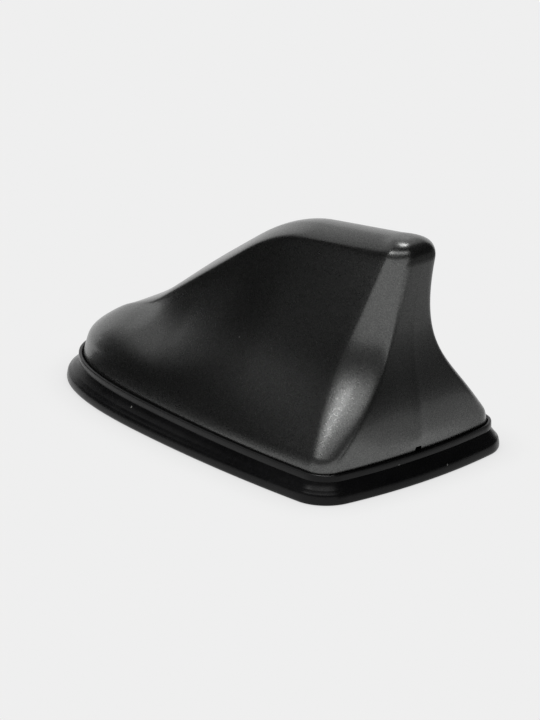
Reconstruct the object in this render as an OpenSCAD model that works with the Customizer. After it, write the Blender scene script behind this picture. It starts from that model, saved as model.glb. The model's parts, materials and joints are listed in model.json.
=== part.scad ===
// Shark fin roof aerial: moulded cover, rubber base gasket, chassis, boards and aerial elements.
// +X points to the rear, +Z up. The origin is the middle of the footprint on the roof.

/* [Overall] */
// Length over the lip of the base gasket
part_l = 138; // [120:1:170]
// Width over the lip of the base gasket at its rear corners
part_w = 73.5; // [66:0.5:84]
// Height of the ridge's long edges above the roof, at its rear
part_h = 69; // [62:0.1:78]

/* [Plan outline] */
// Reach of the nose curve, from the tip to where the sides begin
nose_l = 52.5; // [44:0.5:62]
// Half width of the outline where the nose curve ends
nose_w = 34.3; // [30:0.1:38]
// How far the tip of the nose runs square across before it curves back
nose_blunt = 17; // [12:0.5:22]
// Outward bow of each side
side_bow = 2.6; // [1:0.1:4]
// Outward bow of the rear edge
tail_bow = 4.2; // [2:0.1:6]
// Radius of the rear corners
tail_r = 9.8; // [9:0.1:13]

/* [Nose dome] */
// Height of the top of the dome above the roof
dome_h = 24.3; // [22:0.1:28]
// Distance from the tip of the nose back to the top of the dome
dome_back = 35; // [32:0.5:38]
// Reach of the dome's curve forward of its top
dome_reach = 29; // [26:0.5:32]
// Rounding of the dome beside its middle
dome_r = 6; // [4:0.1:8]

/* [Ridge] */
// Distance from the tip of the nose back to the foot of the ridge's front slope
ridge_start = 29.5; // [26:0.5:34]
// Height of the foot of the front slope above the roof
ridge_start_h = 25.4; // [23:0.1:29]
// Rise of the ridge's front slope, millimetres up for each millimetre back
ridge_slope = 0.68; // [0.62:0.01:0.76]
// Rise of the ridge's top run, millimetres up for each millimetre back
top_slope = 0.125; // [0.08:0.005:0.17]
// Softness of the bend between the front slope and the top run
ridge_bend = 7; // [4:0.5:12]
// Half width of the ridge at the bend, over its sharp edges
ridge_front_w = 8.1; // [7.2:0.1:9.2]
// Half width of the ridge at its rear, over its sharp edges
ridge_rear_w = 8.3; // [7.4:0.1:9.4]
// Rounding of the ridge's long edges on top
ridge_r = 6; // [4:0.1:7]
// Rounding of the ridge's long edges down the flanks
ridge_flank_r = 2; // [1.5:0.1:4]
// Rounding of the ridge's rear edge down the rear face
ridge_rear_r = 5; // [3:0.1:7]
// Rise of the ridge's middle over its long edges
ridge_crown = 2.6; // [1:0.1:3]
// Distance from the ridge's rear edge forward to the lip of the gasket's rear edge
tail_overhang = 1.2; // [1:0.1:4]

/* [Cover] */
// Wall of the moulded cover
wall = 2.2; // [1.6:0.1:2.8]
// Height of the cover's foot above the roof
foot_h = 6; // [5.4:0.1:7]
// Height of the upright rim round the cover's foot
rim_h = 5.2; // [4.4:0.1:6]
// How far the rim leans in over its height
rim_lean = 1; // [0.4:0.1:1.4]
// Diameter of the screw bosses
boss_d = 7; // [6:0.1:8]

/* [Gasket] */
// Width of the flared skirt, from the lip in to the collar
skirt_w = 3; // [2.8:0.1:3.7]
// Thickness of the collar round the cover's foot
collar_t = 0.7; // [0.5:0.05:1]
// Height of the collar above the ledge that carries the cover
collar_h = 2.1; // [1.5:0.1:2.6]
// Gap between collar and cover
collar_gap = 0.2; // [0.1:0.05:0.4]
// Width of the ledge inside the collar
ledge_w = 4.4; // [3.8:0.1:5]

/* [Chassis] */
// Thickness of the foam tape under the chassis
tape_t = 1.2; // [0.8:0.1:1.6]
// Thickness of the chassis floor
floor_t = 2; // [1.6:0.1:2.4]
// Bore of the cable grommet
cable_d = 6.5; // [5:0.1:8]
// Thickness of the circuit board
board_t = 1.6; // [1:0.1:2]

/* [Screws] */
// Thread diameter of the screws that hold the cover
screw_d = 3; // [2.5:0.1:3.5]
// Length of those screws under the head
screw_l = 9; // [7:0.5:10]
// Thread diameter of the board screws
board_screw_d = 2; // [1.6:0.1:2.5]

/* [Aerial elements] */
// Side of the square satellite patch
patch_w = 18; // [14:0.5:20]
// Thickness of the satellite patch
patch_t = 4; // [3:0.1:5]
// Mean diameter of the coil
coil_d = 8; // [7:0.1:9]
// Diameter of the coil's wire
wire_d = 0.8; // [0.5:0.1:1]
// Turns of the coil
coil_turns = 11; // [6:1:14]
// Distance from the coil's axis forward of the rear of the outline
coil_setback = 32; // [28:0.5:38]
// Width of the folded roof plate
plate_w = 8; // [6:0.1:9]

/* [Hidden] */

$fn = 48;
overrun = 0.5;
fit = 0.1;

// Spans of the outline's nose, side, corner and rear, and of the cover's flank and edges
spans = [12, 12, 5, 4];
flank_spans = 12;
edge_spans = 4;
rim_spans = 3;

// Shape of the plan outline
nose_sweep_share = 0.855;
tip_x = -part_l / 2;
tail_x = part_l / 2;

// Shape of the crest, the strip that runs from the nose over the dome and along the ridge
ridge_x = tip_x + ridge_start;
dome_x = tip_x + dome_back;
dome_foot_h = 8;
dome_blend = 6;
crest_in = 10;
crest_tip = tip_x + crest_in;
crest_tail = tail_x - tail_overhang;
crest_reach = nose_l - crest_in;
crest_corner = 6.2;
crest_bow = 0.9;
crest_blunt = 4;
crest_sweep_share = 0.55;
crown_share = 0.9;
crown_reach = 50;
least_edge_r = 1.3;

// Shape of the flanks: each table gives a value at stations along the half outline.
// Station 0 is the tip, 1 the end of the nose, 2 and 3 the corner's ends, 4 the middle of the rear.
lower_run_shares = [[0, 0.14], [0.75, 0.14], [1, 0.17], [2, 0.56], [4, 0.56]];
lower_rise_shares = [[0, 0.47], [0.4, 0.55], [0.7, 0.5], [1, 0.37], [2, 0.36], [4, 0.36]];
upper_run_shares = [[0, 0.71], [0.4, 0.72], [0.7, 0.8], [1, 0.86], [2, 0.87], [4, 0.87]];
upper_rise_shares = [[0, 0.74], [0.15, 0.78], [0.3, 0.86], [0.5, 0.93], [0.65, 0.84], [0.8, 0.6], [1, 0.45],
    [2, 0.36], [4, 0.36]];
lower_pull_shares = [[0, 0], [1, 0], [2, 0.17], [3, 0], [4, 0]];
upper_pull_shares = [[0, 0], [1, 0], [2, 0.24], [3, 0.138], [4, 0.138]];

// Rounding of the crest's edges in the same stations, down the flank and on top
flank_edge_rows = [[0, dome_r / 2], [0.5, dome_r], [0.8, ridge_flank_r], [1.8, ridge_flank_r],
    [3, ridge_rear_r], [4, ridge_rear_r]];
roof_edge_rows = [[0, dome_r / 2], [0.5, dome_r], [1, ridge_r], [1.8, ridge_r], [2.5, ridge_rear_r],
    [4, ridge_rear_r]];

// Levels and insets of the cover
cover_in = skirt_w + collar_t + collar_gap;
stub_h = 1.5;
rim_r = 1.3;
rim_top = foot_h + rim_h;
cover_h = part_h - foot_h;
roof_drop_share = 1.1;
rim_drop_share = 0.8;

function mix(a, b, t) = a + (b - a) * t;
function unit(v) = v / norm(v);
function clamp01(v) = min(1, max(0, v));
function bez2(a, b, c, t) = mix(mix(a, b, t), mix(b, c, t), t);
function bez3(a, b, c, d, t) = mix(bez2(a, b, c, t), bez2(b, c, d, t), t);

// Slope at row i of a table of [station, value] rows, none at its ends and where the values turn back
function slope(rows, i) =
    i == 0 || i == len(rows) - 1 ? 0
    : let (
        before = (rows[i][1] - rows[i - 1][1]) / (rows[i][0] - rows[i - 1][0]),
        after = (rows[i + 1][1] - rows[i][1]) / (rows[i + 1][0] - rows[i][0])
    ) before * after <= 0 ? 0 : 2 * before * after / (before + after);

// Value at station q on a smooth curve through the rows of a table
function eased(q, rows, i = 0) =
    i < len(rows) - 2 && q > rows[i + 1][0]
    ? eased(q, rows, i + 1)
    : let (
        reach = rows[i + 1][0] - rows[i][0],
        step = rows[i + 1][1] - rows[i][1],
        leave = slope(rows, i) * reach,
        land = slope(rows, i + 1) * reach,
        s = clamp01((q - rows[i][0]) / reach)
    ) rows[i][1] + s * (leave + s * (3 * step - 2 * leave - land + s * (leave + land - 2 * step)));

// The greater of a and b, blended where they are less than k apart
function soft_max(a, b, k) = let (s = clamp01(0.5 + 0.5 * (a - b) / k)) mix(b, a, s) + k * s * (1 - s);

// Stations of the half outline's points
function stations(n) = concat([for (k = [0 : 3], i = [0 : n[k] - 1]) k + i / n[k]], [4]);

// Half outline from the tip round one side to the middle of the rear: a nose curve, a bowed side that runs
// tangent into the corner, the corner's arc and the rear's arc
function half_outline(tip, tail, reach, mid_w, end_w, corner_r, bow, rear_bow, blunt, sweep, n) = let (
    rear_r = (end_w * end_w + rear_bow * rear_bow) / (2 * rear_bow),
    corner_x = tail - rear_r + sqrt(pow(rear_r - corner_r, 2) - pow(end_w - corner_r, 2)),
    corner = [corner_x, end_w - corner_r],
    mid = [tip + reach, mid_w],
    chord = corner - mid,
    turn = atan2(4 * bow, norm(chord)),
    heading = atan2(chord.y, chord.x) + asin(corner_r / norm(chord)),
    leave = [cos(heading + turn / 2), sin(heading + turn / 2)],
    land = [cos(heading - turn / 2), sin(heading - turn / 2)],
    side_end = corner + corner_r * [-land.y, land.x],
    third = norm(side_end - mid) / 3,
    corner_from = 90 + heading - turn / 2,
    rear_from = atan2(corner.y, corner.x - tail + rear_r)
) concat(
    [for (i = [0 : n[0] - 1]) bez3([tip, 0], [tip, blunt], mid - reach * sweep * leave, mid, i / n[0])],
    [for (i = [0 : n[1] - 1]) bez3(mid, mid + third * leave, side_end - third * land, side_end, i / n[1])],
    [for (i = [0 : n[2] - 1]) let (a = mix(corner_from, rear_from, i / n[2]))
        corner + corner_r * [cos(a), sin(a)]],
    [for (i = [0 : n[3]]) let (a = mix(rear_from, 0, i / n[3]))
        [tail - rear_r, 0] + rear_r * [cos(a), sin(a)]]
);

function closed(half) = concat(half, [for (i = [len(half) - 2 : -1 : 1]) [half[i].x, -half[i].y]]);

// A closed outline moved inward by d, square to itself
function inset(outline, d) = [
    for (i = [0 : len(outline) - 1]) let (
        n = len(outline),
        t = unit(outline[(i + 1) % n] - outline[(i + n - 1) % n])
    ) outline[i] + d * [t.y, -t.x]
];

// The gasket's outline, and the same outline drawn anew further in, with its corner kept round
function plan_half(d) = half_outline(tip_x + d, tail_x - d, nose_l, nose_w - d, part_w / 2 - d,
    max(tail_r - d, tail_r / 5), side_bow, tail_bow, nose_blunt - d / 2, nose_sweep_share, spans);
plan = closed(plan_half(0));

// Height of the crest's edges: over the dome, up the ridge's front slope and along its top run
function crest_z(x) = let (
    dome = mix(dome_foot_h, dome_h, sqrt(max(0, 1 - pow((x - dome_x) / dome_reach, 2)))),
    front = ridge_start_h + ridge_slope * (x - ridge_x),
    top = part_h - top_slope * (crest_tail - x)
) -soft_max(-soft_max(dome, front, dome_blend), -top, ridge_bend);

// Rise of the crest's middle over its edges, which grows from the tip
function crown(x) = let (s = clamp01((x - crest_tip) / crown_reach)) ridge_crown * s * s * (3 - 2 * s);

// The crest's sharp edge in plan, moved in by t
function crest_half(t) = half_outline(crest_tip + t, crest_tail - t, crest_reach, ridge_front_w - t,
    ridge_rear_w - t, crest_corner - t, 0, crest_bow, crest_blunt - t, crest_sweep_share, spans);

// The crest's middle line between the first and last places that lie square across from a side
first_side = spans[0] / 3;
last_side = spans[0] + spans[1] - 1;
function spine(crest, t, share) = [
    for (j = [first_side : last_side]) let (x = crest[j].x)
        [x, 0, crest_z(x) + crown(x) * share - t * roof_drop_share]
];
function spine_at(j, n) = min(max(min(j, n - j), first_side), last_side) - first_side;

// One rising line of the cover's skin, moved in by t, from the foot to beside the crest's middle.
// q is its station, b its foot, c its place on the crest's sharp edge, peak and top the crest's middle.
function rise(q, b, c, peak, top, t) = let (
    lean = unit(c - b) * rim_lean,
    rim = [b.x + lean.x, b.y + lean.y, rim_top - t * rim_drop_share],
    edge = [c.x, c.y, crest_z(c.x) - t * roof_drop_share],
    span = edge - rim,
    low = rim + [span.x * eased(q, lower_run_shares) - cover_h * eased(q, lower_pull_shares),
        span.y * eased(q, lower_run_shares), span.z * eased(q, lower_rise_shares)],
    high = rim + [span.x * eased(q, upper_run_shares) - cover_h * eased(q, upper_pull_shares),
        span.y * eased(q, upper_run_shares), span.z * eased(q, upper_rise_shares)],
    stub = [b.x, b.y, foot_h + stub_h],
    under = rim + unit(stub - rim) * rim_r,
    over = rim + unit(low - rim) * rim_r,
    below = edge - unit(edge - high) * max(eased(q, flank_edge_rows) - t, least_edge_r),
    beside = edge + unit(peak - edge)
        * min(max(eased(q, roof_edge_rows) - t, least_edge_r), 0.9 * norm(peak - edge))
) concat(
    [[b.x, b.y, foot_h], stub],
    [for (i = [0 : rim_spans - 1]) bez2(under, rim, over, i / rim_spans)],
    [for (i = [0 : flank_spans - 1]) bez3(over, low, high, below, i / flank_spans)],
    [for (i = [0 : edge_spans]) bez2(below, edge, beside, i / edge_spans)],
    [bez2(beside, mix(beside, peak, 0.5), top, 0.5)]
);

// All rising lines of the skin, round the whole outline
function skin_lines(t) = let (
    foot = inset(plan, cover_in + t),
    crest = crest_half(t),
    peaks = spine(crest, t, 1),
    tops = spine(crest, t, crown_share),
    q = stations(spans),
    half = [for (j = [0 : len(q) - 1]) let (k = spine_at(j, len(plan)))
        rise(q[j], foot[j], crest[j], peaks[k], tops[k], t)]
) concat(half, [for (j = [len(q) - 2 : -1 : 1]) [for (p = half[j]) [p.x, -p.y, p.z]]]);

function flat(rows) = [for (r = rows, p = r) p];

// Triangles between neighbouring lines of m points, n lines in a ring. first is the first point's number.
function ring_faces(n, m, first, inside) = [
    for (j = [0 : n - 1], i = [0 : m - 2], k = [0, 1]) let (
        a = first + j * m + i,
        b = first + (j + 1) % n * m + i
    ) k == 0 ? (inside ? [a, a + 1, b + 1] : [a, b + 1, a + 1]) : (inside ? [a, b + 1, b] : [a, b, b + 1])
];

// Triangles from the lines' last points to the crest's middle line. top is the first point's number there.
function roof_faces(n, m, first, top, inside) = [
    for (j = [0 : n - 1], k = [0, 1]) let (
        a = first + j * m + m - 1,
        b = first + (j + 1) % n * m + m - 1,
        c = top + spine_at((j + 1) % n, n),
        d = top + spine_at(j, n)
    ) if (k == 0 || c != d)
        k == 0 ? (inside ? [a, c, b] : [a, b, c]) : (inside ? [a, d, c] : [a, c, d])
];

// Triangles of the flat foot between the outer ring and the inner ring
function foot_faces(n, m, outer, inner) = [
    for (j = [0 : n - 1], k = [0, 1]) let (
        a = outer + j * m,
        b = outer + (j + 1) % n * m,
        c = inner + j * m,
        d = inner + (j + 1) % n * m
    ) k == 0 ? [a, c, d] : [a, d, b]
];

// The cover's skin as a hollow moulding
module hollow_skin() {
    outer = skin_lines(0);
    inner = skin_lines(wall);
    n = len(outer);
    m = len(outer[0]);
    outer_top = spine(crest_half(0), 0, crown_share);
    inner_top = spine(crest_half(wall), wall, crown_share);
    k = 2 * n * m;
    polyhedron(points = concat(flat(outer), flat(inner), outer_top, inner_top), faces = concat(
        ring_faces(n, m, 0, false), roof_faces(n, m, 0, k, false),
        ring_faces(n, m, n * m, true), roof_faces(n, m, n * m, k + len(outer_top), true),
        foot_faces(n, m, 0, n * m)), convexity = 6);
}

// The cover's outer form as one solid, its skin moved in by t
module solid_skin(t) {
    lines = skin_lines(t);
    n = len(lines);
    m = len(lines[0]);
    polyhedron(points = concat(flat(lines), spine(crest_half(t), t, crown_share)), faces = concat(
        ring_faces(n, m, 0, false), roof_faces(n, m, 0, n * m, false),
        [for (j = [1 : n - 2]) [0, (j + 1) * m, j * m]]), convexity = 6);
}

// Levels of the chassis, the ground plate and the board
floor_top = tape_t + floor_t;
deck_rise = 3.8;
deck_z = floor_top + deck_rise;
ground_t = 0.5;
board_z = deck_z + ground_t;
board_top = board_z + board_t;

// Places along the part: the outlet stands off from the tip, the coil from the rear
outlet_back = 70.5;
outlet_x = tip_x + outlet_back;
coil_x = tail_x - coil_setback;

// Places of the cover's screws
front_screw_back = 23;
mid_screw_lag = 4;
mid_screw_side = 14.8;
rear_screw_lead = 17;
rear_screw_side = 15.8;
screw_places = [[tip_x + front_screw_back, 0],
    for (side = [-1, 1]) [outlet_x + mid_screw_lag, side * (part_w / 2 - mid_screw_side)],
    for (side = [-1, 1]) [tail_x - rear_screw_lead, side * (part_w / 2 - rear_screw_side)]];

// Outline of the board
board_lag = 28.5;
board_lead = 23;
board_side = 19.8;
board_front = tip_x + board_lag;
board_rear = tail_x - board_lead;
board_half = part_w / 2 - board_side;

// Places of the board's screws, beside the can and beside the coil
board_screw_in = 3.2;
can_lead = 15.5;
board_screw_side = board_half - board_screw_in;
can_x = outlet_x - can_lead;
board_screw_places = [for (x = [can_x, coil_x], side = [-1, 1]) [x, side * board_screw_side]];

module slab(outline, z, t) translate([0, 0, z]) linear_extrude(t) polygon(outline);
module rod(place, z, d, h) translate([place.x, place.y, z]) cylinder(d = d, h = h);
module block(x, y, z, l, w, h) translate([x - l / 2, y - w / 2, z]) cube([l, w, h]);

// A cross-recessed screw: the seat under its head is at the origin, its shank runs up +Z
recess_share = 0.62;
module cross_screw(d, l, head_d, head_h) {
    difference() {
        translate([0, 0, -head_h]) cylinder(d = head_d, h = head_h);
        for (a = [0, 90]) rotate(a)
            block(0, 0, -head_h - overrun, head_d * recess_share, d / 4, head_h * recess_share + overrun);
    }
    cylinder(d = d, h = l - d / 4);
    translate([0, 0, l - d / 4]) cylinder(d1 = d, d2 = d / 2, h = d / 4);
}

// Screws of the cover
head_d = 5.6;
head_h = 1.9;
seat_z = tape_t + floor_t * 1.5;
thread_bore = screw_d + fit;
bore_spare = 1;
boss_bore_h = seat_z + screw_l - deck_z + bore_spare;

module cover_screws() color("#8d9196") {
    for (p = screw_places) translate([p.x, p.y, seat_z]) cross_screw(screw_d, screw_l, head_d, head_h);
}

// Bosses, their gussets and the tie ribs inside the cover, cut to the form of the skin
gusset_t = 1.4;
tie_t = 1.2;
tie_rise = 8;
tie_lead = 6;
tie_places = [can_x - tie_t, outlet_x - tie_lead];
module cover_core() intersection() {
    solid_skin(wall / 2);
    union() {
        for (p = screw_places) rod(p, deck_z, boss_d, cover_h / 2);
        translate([tip_x, -gusset_t / 2, deck_z + overrun]) cube([front_screw_back, gusset_t, cover_h / 2]);
        for (i = [1 : 4]) let (p = screw_places[i], side = sign(p.y))
            block(p.x, p.y + side * boss_d, deck_z + overrun, gusset_t, 2 * boss_d, cover_h / 2);
        for (i = [3, 4]) let (p = screw_places[i])
            block(p.x + boss_d, p.y, deck_z + overrun, 2 * boss_d, gusset_t, cover_h / 2);
        for (x = tie_places) block(x, 0, board_top + tie_rise + patch_t, tie_t, part_w, cover_h);
    }
}

// Drain notch through the rim at the middle of the rear
notch_w = 2.2;
notch_over = 1.2;
notch_h = collar_h + notch_over;

module cover_shell() color("#3f4144") difference() {
    union() {
        hollow_skin();
        cover_core();
    }
    for (p = screw_places) rod(p, deck_z - overrun, thread_bore, boss_bore_h + overrun);
    block(tail_x - cover_in, 0, foot_h - overrun, 4 * wall, notch_w, notch_h + overrun);
}

// Section of the gasket as [inset from the lip, height] pairs: up the outside, over the collar, along the
// ledge, round the groove that grips the chassis and back under the lower lip
lip_tuck = 1.05;
lip_h = 1.95;
flange_in = 5.5;
underlap = 8;
seal_in = 3.4;
seal_w = 1.2;
seal_h = 0.5;
lip_shares = [[1, 0], [0.25, 0.23], [0, 0.59], [0.17, 1]];
skirt_shares = [[0.33, 0.44], [0.65, 0.61], [0.88, 0.79], [1, 0.96]];
collar_shares = [[-0.3, 0.05], [-0.3, 0.85], [0.1, 1], [0.8, 1], [1, 0.93]];
ledge_in = skirt_w + collar_t + ledge_w;
gasket_section = concat(
    [for (p = lip_shares) [p.x * lip_tuck, p.y * lip_h]],
    [for (p = skirt_shares) [p.x * skirt_w, p.y * foot_h]],
    [for (p = collar_shares) [skirt_w + p.x * collar_t, foot_h + p.y * collar_h]],
    [[skirt_w + collar_t, foot_h], [ledge_in, foot_h], [ledge_in, floor_top], [flange_in - fit, floor_top],
        [flange_in - fit, tape_t], [underlap, tape_t], [underlap, 0], [seal_in + seal_w, 0],
        [seal_in + seal_w, seal_h], [seal_in, seal_h], [seal_in, 0]]);

// A closed section carried round the plan outline
module swept_ring(section) {
    m = len(section);
    n = len(plan);
    rings = [for (p = section) [for (q = inset(plan, p.x)) [q.x, q.y, p.y]]];
    points = [for (j = [0 : n - 1], i = [0 : m - 1]) rings[i][j]];
    polyhedron(points = points, faces = [
        for (j = [0 : n - 1], i = [0 : m - 1], k = [0, 1]) let (
            a = j * m + i,
            b = (j + 1) % n * m + i,
            c = (j + 1) % n * m + (i + 1) % m,
            d = j * m + (i + 1) % m
        ) k == 0 ? [a, b, c] : [a, c, d]
    ], convexity = 8);
}

module base_gasket() color("#1d1e20") swept_ring(gasket_section);

// Chassis: flange and floor, a kerb, posts for the cover's screws, standoffs and rests for the board,
// and a collar for the cable
kerb_in = ledge_in + 2 * fit;
kerb_w = 2;
post_wall = 1;
post_d = boss_d + 2 * post_wall;
standoff_d = 6;
insert_wall = 0.6;
insert_d = board_screw_d + 2 * insert_wall;
insert_h = deck_rise;
rest_d = 4;
rest_lag = 3.5;
rest_side = (patch_w - rest_d) / 2;
grommet_wall = 2.2;
outlet_bore = cable_d + 2 * grommet_wall;
outlet_wall = 1.5;
outlet_d = outlet_bore + 2 * outlet_wall;
outlet_h = 1.8;
head_gap = 0.3;
counterbore_d = head_d + 2 * head_gap;

module base_plate() color("#2b2c2e") difference() {
    union() {
        slab(inset(plan, flange_in), tape_t, floor_t);
        difference() {
            slab(inset(plan, kerb_in), tape_t, deck_z - tape_t);
            slab(closed(plan_half(kerb_in + kerb_w)), floor_top, deck_rise + overrun);
        }
        for (p = screw_places) rod(p, tape_t, post_d, deck_z - tape_t);
        for (p = board_screw_places) rod(p, tape_t, standoff_d, deck_z - tape_t);
        for (side = [-1, 1]) rod([board_front + rest_lag, side * rest_side], tape_t, rest_d, deck_z - tape_t);
        rod([outlet_x, 0], tape_t, outlet_d, floor_t + outlet_h);
    }
    for (p = screw_places) {
        rod(p, tape_t - overrun, counterbore_d, seat_z - tape_t + overrun);
        rod(p, tape_t, screw_d + 2 * fit, deck_z);
    }
    for (p = board_screw_places) rod(p, deck_z - insert_h, insert_d + fit, insert_h + overrun);
    rod([outlet_x, 0], tape_t - overrun, outlet_bore, floor_t + outlet_h + 2 * overrun);
}

module board_inserts() color("#b08d4a") {
    for (p = board_screw_places) difference() {
        rod(p, deck_z - insert_h, insert_d, insert_h);
        rod(p, deck_z - insert_h - overrun, board_screw_d + fit, insert_h + 2 * overrun);
    }
}

// Foam tape between chassis and roof
pad_gap = 1;
pad_in = underlap + pad_gap;
pad_hole_d = counterbore_d + 2 * pad_gap;
pad_outlet_d = outlet_d + 2 * pad_gap;

module adhesive_pad() color("#26282a") difference() {
    slab(closed(plan_half(pad_in)), 0, tape_t);
    for (p = screw_places) rod(p, -overrun, pad_hole_d, tape_t + 2 * overrun);
    rod([outlet_x, 0], -overrun, pad_outlet_d, tape_t + 2 * overrun);
}

// Rubber grommet: a neck in the chassis collar between two flanges, with the cable's bore
grommet_flange_w = 1.2;
grommet_flange_h = 0.9;
module cable_grommet() color("#18191a") difference() {
    union() {
        rod([outlet_x, 0], tape_t, outlet_bore - fit, floor_t + outlet_h);
        rod([outlet_x, 0], tape_t - grommet_flange_h, outlet_bore + 2 * grommet_flange_w, grommet_flange_h);
        rod([outlet_x, 0], floor_top + outlet_h, outlet_bore + 2 * grommet_flange_w, grommet_flange_h);
    }
    rod([outlet_x, 0], 0, cable_d, floor_top + outlet_h + 2 * grommet_flange_h);
}

// Board and ground plate, cut out over the cable outlet
board_corner = 7;
cutout_l = 15;
cutout_half = board_half / 2;
pin_d = 0.9;
pin_lag = 1.5;
patch_lag = 1.5;
patch_x = board_front + patch_lag + patch_w / 2;
module board_outline(back) {
    f = board_front + back;
    w = board_half - back;
    difference() {
        polygon([[f, -w + board_corner], [f + board_corner, -w], [board_rear - back, -w], [board_rear - back, w],
            [f + board_corner, w], [f, w - board_corner]]);
        translate([outlet_x - cutout_l / 2, -cutout_half]) square([cutout_l, 2 * cutout_half]);
    }
}

module ground_plate() color("#a7abae") difference() {
    translate([0, 0, deck_z]) linear_extrude(ground_t) board_outline(ground_t);
    for (p = board_screw_places) rod(p, deck_z - overrun, board_screw_d + 4 * fit, ground_t + 2 * overrun);
    rod([patch_x + pin_lag, 0], deck_z - overrun, 3 * pin_d, ground_t + 2 * overrun);
}

module main_board() color("#1f5a3c") difference() {
    translate([0, 0, board_z]) linear_extrude(board_t) board_outline(0);
    for (p = board_screw_places) rod(p, board_z - overrun, board_screw_d + 2 * fit, board_t + 2 * overrun);
    rod([patch_x + pin_lag, 0], board_z - overrun, pin_d + fit, board_t + 2 * overrun);
}

board_head_d = 3.8;
board_head_h = 1.2;
board_screw_l = board_t + ground_t + insert_h - 2 * fit;
module board_screws() color("#9ea2a6") {
    for (p = board_screw_places) translate([p.x, p.y, board_top]) mirror([0, 0, 1])
        cross_screw(board_screw_d, board_screw_l, board_head_d, board_head_h);
}

// Pressed can over the amplifier, with vent holes
can_l = 11;
can_h = 3.4;
can_half = board_screw_side - board_head_d * 1.5;
can_t = 0.3;
vent_d = 1.4;
vent_pitch = 3;
module shield_can() color("#b4b7b9") difference() {
    block(can_x, 0, board_top, can_l, 2 * can_half, can_h);
    block(can_x, 0, board_top - overrun, can_l - 2 * can_t, 2 * (can_half - can_t), can_h - can_t + overrun);
    for (i = [-1, 1], j = [-1 : 1])
        rod([can_x + i * vent_pitch, j * vent_pitch], board_top, vent_d, can_h + overrun);
}

// Small parts beside the cutout and between the sockets
chip_l = 2.6;
chip_w = 1.8;
chip_h = 0.9;
chip_pitch = 4.2;
chip_side = (board_half + cutout_half) / 2;
socket_gap = 4;
socket_x = outlet_x + cutout_l / 2 + socket_gap;
module board_chips() color("#222426") {
    for (side = [-1, 1], k = [-1 : 1])
        block(outlet_x + k * chip_pitch, side * chip_side, board_top, chip_l, chip_w, chip_h);
    block(socket_x, 0, board_top, 2 * chip_w, 2 * chip_l, chip_h);
}

// Board socket for a coaxial lead: a square foot, a barrel and its pin
socket_w = 5.2;
socket_foot_h = 1.2;
socket_barrel_h = 2.6;
socket_side = 7;
module coax_socket(side) translate([socket_x, side * socket_side, board_top]) {
    block(0, 0, 0, socket_w, socket_w, socket_foot_h);
    translate([0, 0, socket_foot_h]) difference() {
        cylinder(d = socket_w * 0.8, h = socket_barrel_h);
        cylinder(d = socket_w * 0.6, h = socket_barrel_h + overrun);
    }
    cylinder(d = pin_d, h = socket_foot_h + socket_barrel_h * 0.8);
}
module fm_socket() color("#c2a35c") coax_socket(-1);
module gnss_socket() color("#c2a35c") coax_socket(1);

// Satellite patch: tape, ceramic block, plated face with two cut corners, and the feed pin
patch_tape_t = 0.4;
electrode_t = 0.1;
electrode_in = 1.2;
electrode_cut = 2;
pin_head_d = 2.4;
pin_head_h = 0.3;
patch_z = board_top + patch_tape_t;
module patch_tape() color("#d8d3c4") difference() {
    block(patch_x, 0, board_top, patch_w - electrode_in, patch_w - electrode_in, patch_tape_t);
    rod([patch_x + pin_lag, 0], board_top - overrun, 2 * pin_d, patch_tape_t + 2 * overrun);
}
module gnss_patch() color("#b9a893") difference() {
    block(patch_x, 0, patch_z, patch_w, patch_w, patch_t);
    rod([patch_x + pin_lag, 0], patch_z - overrun, pin_d + fit, patch_t + 2 * overrun);
}
module patch_electrode() color("#c9cbcb") {
    w = patch_w / 2 - electrode_in;
    c = w - electrode_cut;
    translate([patch_x, 0, patch_z + patch_t]) linear_extrude(electrode_t) difference() {
        polygon([[-w, -w], [c, -w], [w, -c], [w, w], [-c, w], [-w, c]]);
        translate([pin_lag, 0]) circle(d = pin_d + fit);
    }
}
module patch_pin() color("#c2a35c") {
    head_z = patch_z + patch_t + electrode_t;
    rod([patch_x + pin_lag, 0], board_z, pin_d, head_z - board_z);
    rod([patch_x + pin_lag, 0], head_z, pin_head_d, pin_head_h);
}

// Underside of the cover's roof along its middle
function ceiling_z(x) = crest_z(x) + crown(x) * crown_share - wall * roof_drop_share;

// Roof plate: a folded strip that follows the ceiling, on a moulded carrier
plate_clear = 1.8;
plate_t = 0.4;
plate_skirt = 5;
plate_lead = 11;
plate_tie_gap = 4.7;
plate_spans = 12;
rail_h = 4;
rail_t = 1.2;
rail_w = plate_w - 2 * plate_t - 2 * fit;
socket_d = rail_w;
socket_drop = 10;
spigot_wall = 1.3;
spigot_d = socket_d - 2 * spigot_wall;
plate_rear = crest_tail - plate_lead;
plate_front = outlet_x - tie_lead + tie_t / 2 + plate_tie_gap;
plate_l = plate_rear - plate_front;
plate_screw_in = 5;
plate_screw_x = plate_rear - plate_screw_in;
plate_screw_l = 4;
plate_head_h = 0.8;
socket_z = ceiling_z(coil_x) - socket_drop - plate_clear;

// A bar under the ceiling, drop below it, depth deep and w wide
module under_ceiling(drop, depth, w, past) {
    l = plate_l + 2 * past;
    x = [for (i = [0 : plate_spans]) plate_front - past + l * i / plate_spans];
    rotate([90, 0, 0]) translate([0, 0, -w / 2]) linear_extrude(w) polygon(concat(
        [for (a = x) [a, ceiling_z(a) - drop]],
        [for (i = [plate_spans : -1 : 0]) [x[i], ceiling_z(x[i]) - drop - depth]]));
}

// Stands its children square on the roof plate at plate_screw_x, pointing down
module on_plate() translate([plate_screw_x, 0, ceiling_z(plate_screw_x) - plate_clear])
    rotate([0, -atan(top_slope), 0]) mirror([0, 0, 1]) children();

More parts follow.
